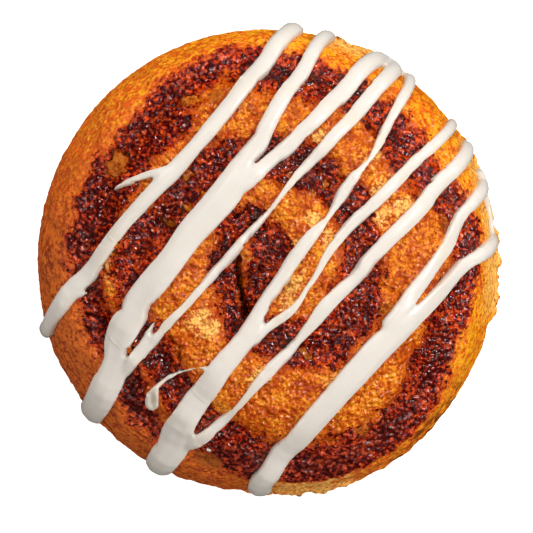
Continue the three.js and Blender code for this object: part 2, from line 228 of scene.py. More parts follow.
def spot_share(plan: Array, spots: Sequence[Spot], soft: float = 0.35) -> Array:
    """How much plan points lie on any of some spots.

    Args:
        plan: plan points, one to a row.
        spots: the spots.
        soft: how gradual a spot's edge is, as a share of its size.

    Returns:
        A number from 0 outside to 1 well inside.
    """
    most = np.zeros(len(plan))
    for spot in spots:
        x, y = plan[:, 0] - spot.x_mm, plan[:, 1] - spot.y_mm
        ahead = x * math.cos(spot.turn) + y * math.sin(spot.turn)
        aside = y * math.cos(spot.turn) - x * math.sin(spot.turn)
        reach = np.hypot(ahead / spot.length_mm * 2, aside / spot.width_mm * 2)
        most = np.maximum(most, smoothstep(reach, 1 + soft, 1 - soft))
    return most


class Mesh:
    """A mesh object, read and changed as arrays in millimetres.

    Args:
        piece: the object, which sits at the origin.
    """

    def __init__(self, piece: bpy.types.Object) -> None:
        """Keeps the object."""
        self.piece = piece

    @property
    def data(self) -> bpy.types.Mesh:
        """The object's mesh."""
        return self.piece.data

    @staticmethod
    def _read(rows: bpy.types.bpy_prop_collection, name: str, blank: Array) -> Array:
        """What each of some rows holds, read into a blank array."""
        rows.foreach_get(name, blank.ravel())
        return blank

    def points(self) -> Array:
        """The vertices, one to a row."""
        return self._read(self.data.vertices, "co", np.empty((len(self.data.vertices), 3))) / MM

    def normals(self) -> Array:
        """The vertices' outward directions."""
        return self._read(self.data.vertex_normals, "vector", np.empty((len(self.data.vertices), 3)))

    def move(self, points: Array) -> None:
        """Puts the vertices at new points."""
        self.data.vertices.foreach_set("co", (points * MM).ravel())
        self.data.update()

    def edges(self) -> Array:
        """The pairs of vertices that edges join."""
        return self._read(self.data.edges, "vertices", np.empty((len(self.data.edges), 2), np.int64))

    def paint(self, layer: Layer, values: Array) -> None:
        """Stores a number at each vertex for the material to read."""
        attribute = self.data.attributes.new(layer.value, "FLOAT", "POINT")
        attribute.data.foreach_set("value", values.astype(np.float32))

    def select_only(self) -> None:
        """Makes the object the only one selected, and the active one."""
        bpy.ops.object.select_all(action="DESELECT")
        self.piece.select_set(True)
        bpy.context.view_layer.objects.active = self.piece

    def modify(self, kind: str, **settings: Any) -> None:
        """Adds a modifier, and applies it.

        Args:
            kind: the modifier's type.
            settings: its settings, by name.
        """
        self.select_only()
        bpy.ops.object.modifier_add(type=kind)
        modifier = self.piece.modifiers[-1]
        for name, value in settings.items():
            setattr(modifier, name, value)
        bpy.ops.object.modifier_apply(modifier=modifier.name)

    def merge(self) -> None:
        """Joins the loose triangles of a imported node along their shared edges."""
        self.select_only()
        bpy.ops.object.mode_set(mode="EDIT")
        bpy.ops.mesh.select_all(action="SELECT")
        bpy.ops.mesh.remove_doubles(threshold=0.001 * MM)
        bpy.ops.object.mode_set(mode="OBJECT")

    def delete(self, unwanted: Array) -> None:
        """Deletes vertices.

        Args:
            unwanted: True for each vertex that goes.
        """
        self.select_only()
        bpy.ops.object.mode_set(mode="EDIT")
        bpy.ops.mesh.select_mode(type="VERT")
        bpy.ops.mesh.select_all(action="DESELECT")
        bpy.ops.object.mode_set(mode="OBJECT")
        self.data.vertices.foreach_set("select", unwanted)
        bpy.ops.object.mode_set(mode="EDIT")
        bpy.ops.mesh.delete(type="VERT")
        bpy.ops.object.mode_set(mode="OBJECT")

    def thin_to(self, triangles: int) -> None:
        """Reduces the mesh, flat parts first.

        Args:
            triangles: about how many are left.
        """
        now = sum(face.loop_total - 2 for face in self.data.polygons)
        if now > triangles:
            self.modify("DECIMATE", ratio=triangles / now)

    @classmethod
    def copied(cls, data: bpy.types.Mesh, name: str) -> "Mesh":
        """A new object with its own copy of a mesh.

        Args:
            data: the mesh.
            name: the object's name.

        Returns:
            The object.
        """
        piece = bpy.data.objects.new(name, data.copy())
        bpy.context.scene.collection.objects.link(piece)
        return cls(piece)

    def shade_smooth(self) -> None:
        """Shades the faces as one smooth surface."""
        self.select_only()
        bpy.ops.object.shade_smooth()


def copy_of_node(node: str, name: str) -> Mesh:
    """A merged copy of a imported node's mesh, as a new object.

    Args:
        node: the node's name.
        name: the new object's name.

    Returns:
        The copy, without a material.
    """
    copy = Mesh.copied(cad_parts[node].data, name)
    copy.data.materials.clear()
    copy.merge()
    return copy


def smoothed(values: Array, edges: Array, rounds: int) -> Array:
    """Evens out numbers or points over a mesh by moving each towards its neighbours' mean.

    Args:
        values: one row for each vertex.
        edges: the pairs of vertices that are neighbours.
        rounds: how many times to do it.

    Returns:
        The evened rows.
    """
    size = len(values)
    first, second = edges.T
    total = np.maximum(np.bincount(first, minlength=size) + np.bincount(second, minlength=size), 1e-9)
    columns = [column.copy() for column in values.reshape(size, -1).T]
    for _ in range(rounds):
        for k, column in enumerate(columns):
            near = np.bincount(first, column[second], size) + np.bincount(second, column[first], size)
            columns[k] = (column + near / total) / 2
    return np.stack(columns, axis=1).reshape(values.shape)


@dataclass(frozen=True)
class Value:
    """A number that varies over a surface: one socket, with Python's operators."""

    shader: "Shader"
    socket: Socket

    def math(self, operation: str, *terms: "Value | float") -> "Value":
        """One Math node on these terms, in order."""
        return self.shader.value("ShaderNodeMath", {"operation": operation}, dict(enumerate(terms)))

    def __add__(self, other: "Value | float") -> "Value":
        """The sum."""
        return self.math("ADD", self, other)

    def __sub__(self, other: "Value | float") -> "Value":
        """The difference."""
        return self.math("SUBTRACT", self, other)

    def __rsub__(self, other: float) -> "Value":
        """The difference from a plain number."""
        return self.math("SUBTRACT", other, self)

    def __mul__(self, other: "Value | float") -> "Value":
        """The product."""
        return self.math("MULTIPLY", self, other)

    def ramp(self, low: float, high: float) -> "Value":
        """A smooth rise.

        Args:
            low: where the result is 0.
            high: where it is 1. The result falls if this is the lower of the two.

        Returns:
            The result, from 0 to 1.
        """
        if low > high:
            return 1 - self.ramp(high, low)
        values = {"Value": self, "From Min": low, "From Max": high}
        return self.shader.value("ShaderNodeMapRange", {"interpolation_type": "SMOOTHSTEP"}, values)

    __radd__ = __add__
    __rmul__ = __mul__


class Shader:
    """A material under construction.

    Args:
        name: the material's name.
    """

    def __init__(self, name: str) -> None:
        """Makes a material with one Principled surface."""
        self.material = bpy.data.materials.new(name)
        self.material.use_nodes = True
        self.tree = self.material.node_tree
        self.tree.nodes.clear()
        self.surface = self.node("ShaderNodeBsdfPrincipled")
        self.node("ShaderNodeOutputMaterial", {}, {"Surface": self.surface.outputs[0]})
        self.place = self.node("ShaderNodeTexCoord").outputs["Object"]

    def node(self, kind: str, settings: dict | None = None, values: dict | None = None) -> bpy.types.Node:
        """Adds a node.

        Args:
            kind: the node's type.
            settings: its settings, which are set first.
            values: numbers, colours or links for its inputs, by name or place.

        Returns:
            The node.
        """
        node = self.tree.nodes.new(kind)
        for name, setting in (settings or {}).items():
            setattr(node, name, setting)
        for name, value in (values or {}).items():
            self.put(node.inputs[name], value)
        return node

    def put(self, socket: Socket, value: Any) -> None:
        """Sets an input, or links it.

        Args:
            socket: the input.
            value: a number or colour, or what to link to it.
        """
        if isinstance(value, Value):
            value = value.socket
        if isinstance(value, Socket):
            self.tree.links.new(value, socket)
        elif isinstance(value, tuple) and socket.type == "RGBA":
            socket.default_value = (*value, 1)
        else:
            socket.default_value = value

    def value(self, kind: str, settings: dict | None = None, values: dict | None = None,
              output: int | str = 0) -> Value:
        """Adds a node and returns one of its outputs as a number."""
        return Value(self, self.node(kind, settings, values).outputs[output])

    def painted(self, layer: Layer) -> Value:
        """The number painted on the mesh."""
        return self.value("ShaderNodeAttribute", {"attribute_name": layer.value}, output="Fac")

    def noise(self, size_mm: float, detail: float = 2, shift: float = 0) -> Value:
        """Soft noise.

        Args:
            size_mm: the size of its lumps.
            detail: how many finer layers it has.
            shift: moves it, so that two noises of one size differ.

        Returns:
            A number round one half.
        """
        place = self.place
        if shift:
            values = {"Vector": place, "Location": Vector((shift, shift, shift))}
            place = self.node("ShaderNodeMapping", {}, values).outputs[0]
        values = {"Vector": place, "Scale": 1 / (size_mm * MM), "Detail": detail, "Roughness": 0.6}
        return self.value("ShaderNodeTexNoise", {}, values)

    def grains(self, size_mm: float) -> Value:
        """The distance from the middle of the nearest grain, as a share of the grains' size."""
        values = {"Vector": self.place, "Scale": 1 / (size_mm * MM)}
        return self.value("ShaderNodeTexVoronoi", {"feature": "SMOOTH_F1"}, values, "Distance")

    def mix(self, share: Value | float, first: Any, second: Any) -> Socket:
        """Goes from the first colour to the second as share goes from 0 to 1."""
        node = self.node("ShaderNodeMix", {"data_type": "RGBA"}, {0: share, 6: first, 7: second})
        return node.outputs[2]

    def bump(self, height: Value, distance_mm: float, strength: float,
             under: Socket | None = None) -> Socket:
        """Fine relief.

        Args:
            height: its height, from 0 to 1.
            distance_mm: how high 1 is.
            strength: how much of it shows.
            under: the relief that it lies on, if any.

        Returns:
            The bent normal.
        """
        values = {"Height": height, "Distance": distance_mm * MM, "Strength": strength}
        if under is not None:
            values["Normal"] = under
        return self.node("ShaderNodeBump", {}, values).outputs[0]

    def finish(self, **sockets: Any) -> Material:
        """Sets the surface's sockets.

        Args:
            sockets: their values or links, by names written with underscores.

        Returns:
            The material.
        """
        for name, value in sockets.items():
            self.put(self.surface.inputs[name.replace("_", " ")], value)
        return self.material


@dataclass(frozen=True)
class CrustFinish:
    """Baked dough that turns, over a millimetre or two, into the wet filling of its swirl."""

    name: str = "baked_crust"
    gloss: float = 0.5
    deep: Colour = (0.40, 0.046, 0.0001)
    golden: Colour = (0.64, 0.118, 0.0003)
    bright: Colour = (0.88, 0.315, 0.016)
    orange: Colour = (0.70, 0.105, 0.0002)
    # Pale cream, for painted highlight on the top, partly paler dough, and for the paler foot and ledges.
    yellow: Colour = (0.93, 0.39, 0.004)
    pale: Colour = (0.98, 0.52, 0.11)
    # Crust colours for the side away from the key light: painted shade, partly browner baking.
    brown_and_shade: Colour = (0.66, 0.130, 0.004)
    brown_and_shade_deep: Colour = (0.33, 0.040, 0.001)
    speck: Colour = (0.30, 0.018, 0.0001)
    amber: Colour = (0.68, 0.080, 0.0002)
    red: Colour = (0.30, 0.005, 0.0001)
    ember: Colour = (0.86, 0.095, 0.0002)
    dark: Colour = (0.036, 0.0004, 0.0001)
    blister: Colour = (0.40, 0.105, 0.008)
    blister_deep: Colour = (0.16, 0.022, 0.001)
    # The colour of the painted shade in the creases and along the lower-right rim.
    shade_colour: Colour = (0.020, 0.0012, 0.0003)
    swell_mm: float = 0.9
    swell_height_mm: float = 1.0
    bead_mm: float = 0.85
    bead_height_mm: float = 0.62
    roughness: float = 0.25

    def material(self) -> Material:
        """Builds the material."""
        shader = Shader(self.name)
        blister = shader.painted(Layer.BLISTER)
        crust = shader.painted(Layer.CRUST)
        toast_and_shade = shader.painted(Layer.TOAST_AND_SHADE)
        patches = shader.noise(5.0, 2, shift=0.9) - 0.5
        coarse = shader.noise(2.4, 4)
        medium = shader.noise(1.1, 3, shift=0.11)
        fine = shader.noise(0.5, 1, shift=0.23)
        streak = (shader.painted(Layer.STREAK) - 0.5) * crust
        speckle = medium * 0.5 + fine * 0.5

        tone = coarse * 0.4 + medium * 0.6 + patches * 0.35
        dough = shader.mix(tone.ramp(0.40, 0.56), self.deep, self.golden)
        dough = shader.mix((speckle + patches * 0.4).ramp(0.48, 0.64), dough, self.bright)
        # Painted shade, partly browner baking: the crust turns orange and then dark brown on the side away from the
        # key light.
        tone = speckle * 0.8 + streak * 0.5 + (coarse - 0.5) * 0.4 - toast_and_shade * 0.30
        skin = shader.mix(tone.ramp(0.22, 0.46), self.orange, self.yellow)
        dough = shader.mix(crust * 0.85, dough, skin)
        brown_and_shade_crust = shader.mix((speckle + streak * 0.8).ramp(0.34, 0.52), self.brown_and_shade_deep, self.brown_and_shade)
        dough = shader.mix((toast_and_shade * 1.2 + (coarse - 0.5) * 0.6).ramp(0.35, 1.05), dough, brown_and_shade_crust)
        # Painted highlight, partly paler dough: pale cream patches on the top, with the paler foot and ledges.
        pale_and_highlight_share = shader.painted(Layer.PALE) * 0.8 + (medium - 0.5) * 1.6 + (fine - 0.5) * 1.2
        dough = shader.mix(pale_and_highlight_share.ramp(0.30, 0.95), dough, self.pale)
        dough = shader.mix(shader.noise(0.8, 1, shift=0.37).ramp(0.62, 0.68) * 0.6, dough, self.speck)

        depth = shader.painted(Layer.SWIRL) + (coarse - 0.5) * 0.45 + (medium - 0.5) * 0.7 + (fine - 0.5) * 0.35
        wet = depth.ramp(0.40, 0.58)
        colour = shader.mix(depth.ramp(0.37, 0.48), dough, self.amber)
        colour = shader.mix(depth.ramp(0.44, 0.54), colour, self.red)
        grain = shader.noise(1.0, 3, shift=0.51) + patches * 0.3
        colour = shader.mix(wet * grain.ramp(0.52, 0.64) * 0.85, colour, self.ember)
        colour = shader.mix(wet * grain.ramp(0.53, 0.44) * 0.94, colour, self.dark)
        colour = shader.mix(depth.ramp(0.62, 1.05) * 0.5, colour, self.dark)
        bubble = shader.mix((medium * 0.5 + coarse * 0.5).ramp(0.40, 0.56), self.blister_deep, self.blister)
        colour = shader.mix(blister * 0.8, colour, bubble)
        # Painted shade: the creases and a band of the lower-right rim are darkened almost to black.
        colour = shader.mix(shader.painted(Layer.CAVITY).ramp(0.3, 1.0), colour, self.shade_colour)

        swell = shader.noise(self.swell_mm, 0, shift=0.7) * (1.0 - blister * 0.7) * (1.0 - crust * 0.5)
        normal = shader.bump(swell, self.swell_height_mm, 1.0)
        bead = shader.grains(self.bead_mm)
        beads = (1.0 - bead * bead) * (0.25 + wet * 0.75) * (1.0 - crust * 0.5)
        normal = shader.bump(beads, self.bead_height_mm, 1.0, normal)
        rough = self.roughness - wet * 0.04 - blister * 0.06 + crust * 0.12 + toast_and_shade * 0.2
        return shader.finish(Base_Color=colour, Roughness=rough, Normal=normal, Subsurface_Weight=0.03,
                             Subsurface_Scale=1.0 * MM, Subsurface_Radius=(1.0, 0.20, 0.05), IOR=1.5,
                             Specular_IOR_Level=self.gloss)


@dataclass(frozen=True)
class IcingFinish:
    """Poured sugar icing that has set: white, smooth and slightly see-through where it is thin."""

    white: Colour = (0.67, 0.635, 0.59)
    thin: Colour = (0.66, 0.575, 0.47)
    ripple_mm: float = 1.6
    ripple_height_mm: float = 0.06
    wrinkle_height_mm: float = 0.08

    def material(self) -> Material:
        """Builds the material."""
        shader = Shader("poured_icing")
        thin = shader.painted(Layer.THIN)
        wrinkle = shader.painted(Layer.WRINKLE)
        colour = shader.mix(thin * 0.8 + (shader.noise(2.5, 3) - 0.5) * 0.2, self.white, self.thin)
        normal = shader.bump(shader.noise(self.ripple_mm, 2), self.ripple_height_mm, 0.4)
        normal = shader.bump(wrinkle, self.wrinkle_height_mm, 0.8, normal)
        return shader.finish(Base_Color=colour, Roughness=0.33, Normal=normal, Subsurface_Weight=0.35,
                             Subsurface_Scale=1.6 * MM, Subsurface_Radius=(1.0, 0.75, 0.55), Coat_Weight=0.15,
                             Coat_Roughness=0.2)


@dataclass(frozen=True)
class FloorFinish:
    """A plain pale studio floor."""

    colour: Colour = (0.90, 0.90, 0.90)
    glow: float = 0.8

    def material(self) -> Material:
        """Builds the material."""
        shader = Shader("studio_floor")
        return shader.finish(Base_Color=self.colour, Roughness=0.8, Emission_Color=(1.0, 1.0, 1.0),
                             Emission_Strength=self.glow)


class Swirl:
    """The plan of the roll's top: where the filling, creases and blisters lie."""

    per_span: int = 12
    at_once: int = 20000

    def __init__(self) -> None:
        """Sets the plan's origin in the frame, and runs a smooth curve through the swirl's points."""
        low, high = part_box("baked_roll")
        middle = (low + high) / 2 / MM
        self.origin = np.array([middle.x + PLAN_OFFSET_MM[0], middle.y + PLAN_OFFSET_MM[1], 0.0])
        self.line = self._curve(np.array(SWIRL_MM, float))

    def _curve(self, points: Array) -> Array:
        """A smooth curve.

        Args:
            points: what it goes through, one to a row.

        Returns:
            The curve, as points close together.
        """
        ends = np.vstack([2 * points[0] - points[1], points, 2 * points[-1] - points[-2]])
        t = np.linspace(0, 1, self.per_span, endpoint=False)[:, None]
        spans = []
        for a, b, c, d in zip(ends, ends[1:], ends[2:], ends[3:]):
            spans.append(b + t / 2 * (c - a + t * (2 * a - 5 * b + 4 * c - d + t * (3 * (b - c) + d - a))))
        return np.vstack([*spans, points[-1:]])

    def band(self, plan: Array) -> Array:
        """How far plan points are outside the band of filling.

        Args:
            plan: plan points, one to a row.

        Returns:
            The distance outside the band's edge, negative inside it.
        """
        outside = np.empty(len(plan))
        x, y, half_width = self.line.T
        for start in range(0, len(plan), self.at_once):
            part = plan[start:start + self.at_once, None, :]
            distance = np.hypot(part[..., 0] - x, part[..., 1] - y) - half_width
            outside[start:start + self.at_once] = distance.min(axis=1)
        return outside

    @staticmethod
    def to_line(plan: Array, points: Sequence[Pair]) -> Array:
        """How far plan points are from a line of straight stretches.

        Args:
            plan: plan points, one to a row.
            points: the line's corners and ends.

        Returns:
            The distance from the nearest stretch.
        """
        best = np.full(len(plan), np.inf)
        for start, end in zip(points, points[1:]):
            a, b = np.array(start, float), np.array(end, float)
            share = np.clip((plan - a) @ (b - a) / ((b - a) @ (b - a)), 0, 1)
            best = np.minimum(best, np.linalg.norm(plan - a - share[:, None] * (b - a), axis=1))
        return best


@dataclass
class Survey:
    """What the roll is like at some points of its packed surface."""

    points: Array
    directions: Array
    swirl: Swirl
    top_mm: Pair = (15, 21)
    edge_lumps: Sequence[Relief] = (Relief(2.2, 6.0, 3), Relief(1.3, 1.9, 3, 8.1))
    drift: Sequence[Relief] = (Relief(1.1, 1.8, 2, 20.3), Relief(1.1, 1.8, 2, 31.7))
    crease_wander: Relief = Relief(0.7, 1.6, 2, 3.3)
    swell: Relief = Relief(0.68, 8.0)
    dough_lumps: Sequence[Relief] = (Relief(0.46, 2.9, 2, 4.4), Relief(0.22, 1.0, 2, 6.2))
    blister_rise_mm: float = 0.2
    pit_mm: float = 0.38
    pit_spacing_mm: float = 1.9
    sunk_mm: float = 1.0
    marks: Relief = Relief(0.30, 1.3, 3, 5.5)
    foot_mm: float = 0.4
    filling_lumps: Sequence[Relief] = (Relief(0.50, 3.2, 2, 1.9), Relief(0.60, 1.25, 2, 7.7))
    bead_mm: float = 0.55
    bead_spacing_mm: float = 0.95
    bead_drift: Sequence[Relief] = tuple(Relief(0.3, 1.1, 1, shift) for shift in (11.0, 12.0, 13.0))
    tuck_mm: float = 1.5
    blister_cover_mm: float = 1.4
    uneven: Relief = Relief(0.12, 5.0, 3, 15.0)
    # The bearing of the band of painted shade along the rim.
    rim_shade_bearing: float = -0.80
    streaks: Relief = Relief(0.6, 0.6, 2, 6.6)

    def __post_init__(self) -> None:
        """Works out what every method shares."""
        self.placed = self.points - self.swirl.origin
        self.plan = self.placed[:, :2]
        self.level = self.placed[:, 2]
        self.bearing = np.arctan2(self.plan[:, 1], self.plan[:, 0])
        self.top = smoothstep(self.level, *self.top_mm)
        outside = self.swirl.band(self.plan) + np.maximum(0, 20 - self.level) * 0.9
        self.edge = outside + sum(lump.at(self.placed) for lump in self.edge_lumps)
        self.wandered = self.plan + np.stack([lump.at(self.placed) for lump in self.drift], axis=1)
        self.radius = np.hypot(*self.plan.T)
        self.blister = spot_share(self.wandered, BLISTERS) * self.top
        self.crease = self._creases()

    def _creases(self) -> Array:
        """How deep the splits are at each point."""
        wander = self.crease_wander.at(self.placed)
        depth = np.zeros(len(self.plan))
        for crease in CREASES:
            distance = np.maximum(0, self.swirl.to_line(self.plan, crease.points_mm) + wander)
            depth = np.maximum(depth, crease.depth_mm * smoothstep(distance, crease.half_width_mm * 1.8, 0.0))
        return depth * self.top

    def _wrapped(self, radius: float, along: Array) -> Array:
        """The points wrapped round a tube of this radius, this far along it."""
        return np.stack([np.cos(self.bearing) * radius, np.sin(self.bearing) * radius, along], axis=1)

    def body(self) -> Array:
        """The slow swell that dough and filling share."""
        return self.swell.at(self.placed) * (0.3 + 0.7 * self.top)

    def dough(self) -> Array:
        """The relief of the dough, which sinks under the filling.

        Returns:
            The height at each point.
        """
        calm = smoothstep(self.radius, 36, 45)
        rough = sum(lump.at(self.placed) for lump in self.dough_lumps)
        height = self.body() + (1 - self.blister) * (1 - 0.55 * calm) * rough
        height += self.blister_rise_mm * self.blister
        distance, own = pebbles(self.placed, self.pit_spacing_mm, 2.7)
        height -= self.pit_mm * smoothstep(distance, 0.24, 0.08) * (own > 0.55) * (1 - self.blister)
        height -= self.crease
        sunk = smoothstep(self.edge, 0.1, -1.3) * (1 - self.blister) * self.top
        height = height * (1 - 0.8 * sunk) - self.sunk_mm * sunk
        return self._wall(height)

    def _wall(self, height: Array) -> Array:
        """Adds stretch marks to the wall, and the ragged foot.

        Args:
            height: the relief without them.

        Returns:
            The relief with them.
        """
        side = smoothstep(self.level, 25, 14)
        ring = self._wrapped(20, self.level * 1.8)
        height = height + side * self.marks.at(ring)
        foot = smoothstep(self.level, 7.0, 2.4) * smoothstep(self.level, -0.4, 1.4)
        foot *= np.abs(self.directions[:, 2]) < 0.92
        ragged = np.clip(0.6 + lumps(ring * 1.6, 2.2, 3, 9.1), 0, 1.4)
        reach = self.foot_mm + sum(
            ledge.reach_mm * smoothstep(np.abs(self.bearing - ledge.bearing), ledge.half_angle * 1.3,
                                        ledge.half_angle * 0.6) for ledge in LEDGES)
        height += foot * reach * ragged
        flat = smoothstep(self.level, 0.6, 0.2) * (self.directions[:, 2] < -0.7)
        return height * (1 - flat)

    def filling(self) -> Array:
        """The rugged relief of the filling, which dips under the dough at its edges.

        Returns:
            The height at each point.
        """
        height = self.body()
        for lump in self.filling_lumps:
            height = height + lump.at(self.placed)
        warped = self.placed + np.stack([lump.at(self.placed) for lump in self.bead_drift], axis=1)
        distance, own = pebbles(warped, self.bead_spacing_mm)
        height += self.bead_mm * (0.35 - distance ** 2) * (0.4 + own)
        height -= self.tuck_mm * smoothstep(self.edge, -0.9, 1.1) + self.blister_cover_mm * self.blister + self.crease
        return height

    def colours(self) -> dict[Layer, Array]:
        """What the material reads.

        Returns:
            A number from 0 to 1 at each point, by layer.
        """
        rim = smoothstep(self.radius, 44, 50)
        side = smoothstep(self.level, 27, 17)
        foot = smoothstep(self.level, 5, 2)
        # Painted shade on the side away from the key light, partly browner baking, by bearing.
        away = np.interp(np.degrees(self.bearing) % 360, TOAST_AND_SHADE_BEARINGS, TOAST_AND_SHADE)
        # Painted highlight in patches on the top, partly paler dough; the ledges and the foot are paler dough.
        pale = spot_share(self.wandered, PALE_AND_HIGHLIGHT_SPOTS, 0.7) * self.top
        uneven = self.uneven.at(self.placed)
        ledge = sum(smoothstep(np.abs(self.bearing - one.bearing + uneven), one.half_angle * 1.7,
                               one.half_angle * 0.3) for one in LEDGES)
        pale = np.maximum(pale, rim * side * np.clip(ledge, 0, 1) * 0.9)
        pale = np.maximum(pale, 0.5 * foot)
        path = self._wrapped(18, self.level - self.radius)
        # Painted shade: a dark band along the lower-right rim, just above the widest line, broken up by lumps.
        aside = np.abs(self.bearing - self.rim_shade_bearing + uneven)
        rim_shade = smoothstep(aside, 0.5, 0.1) * smoothstep(self.level, 23, 15)
        rim_shade *= smoothstep(lumps(self.placed, 2.5, 3, 14.0), -0.7, 0.5)
        return {
            Layer.SWIRL: np.clip(0.5 - self.edge / 8, 0, 1) * (1 - self.blister),
            # Painted shade in the creases and along the lower-right rim.
            Layer.CAVITY: np.clip(np.maximum(self.crease / 2.4, rim_shade * 0.8), 0, 1),
            Layer.BLISTER: self.blister,
            Layer.PALE: np.clip(pale, 0, 1),
            Layer.TOAST_AND_SHADE: away * smoothstep(self.radius, 38, 46) * (1 - 0.6 * foot),
            Layer.CRUST: smoothstep(self.radius, 40, 47),
            Layer.STREAK: np.clip(0.5 + self.streaks.at(path), 0, 1),
        }


@dataclass
class BakedRoll:
    """The baked dough, and the filling that lies in its spiral as a slab of its own."""

    swirl: Swirl
    icing: "Icing"
    voxel_mm: float = 0.30
    dough_triangles: int = 196000
    filling_triangles: int = 196000
    slab_mm: float = 1.3

    def build(self) -> list[Mesh]:
        """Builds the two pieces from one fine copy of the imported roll.

        Returns:
            The dough and the filling.
        """
        dough = copy_of_node("baked_roll", "baked_dough")
        dough.modify("SUBSURF", levels=2, render_levels=2)
        dough.modify("REMESH", mode="VOXEL", voxel_size=self.voxel_mm * MM)
        survey = Survey(dough.points(), dough.normals(), self.swirl)
        filling = self._filling(dough, survey)
        height = self.icing.press(survey.points, survey.dough())
        points = survey.points + survey.directions * height[:, None]
        points[:, 2] = np.maximum(points[:, 2], 0)
        dough.move(points)
        dough.thin_to(self.dough_triangles)
        self._dress(dough, CrustFinish().material())
        self._dress(filling, CrustFinish("wet_filling", 1.0).material())
        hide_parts("baked_roll")
        return [dough, filling]

    def _filling(self, roll: Mesh, survey: Survey) -> Mesh:
        """Makes the slab of filling.

        Args:
            roll: the fine roll, without relief.
            survey: what it is like.

        Returns:
            The closed slab.
        """
        filling = Mesh.copied(roll.data, "cinnamon_filling")
        height = self.icing.press(survey.points, survey.filling())
        filling.move(survey.points + survey.directions * height[:, None])
        filling.delete((survey.edge > 1.3) | (survey.top < 0.05))
        filling.modify("SOLIDIFY", thickness=self.slab_mm * MM, offset=-1.0, use_rim=True)
        filling.thin_to(self.filling_triangles)
        return filling

    def _dress(self, piece: Mesh, material: Material) -> None:
        """Paints and shades a piece, and makes it part of the roll.

        Args:
            piece: the piece.
            material: its material.
        """
        survey = Survey(piece.points(), piece.normals(), self.swirl)
        for layer, values in survey.colours().items():
            piece.paint(layer, values)
        piece.shade_smooth()
        piece.data.materials.append(material)
        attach(piece.piece, "root")


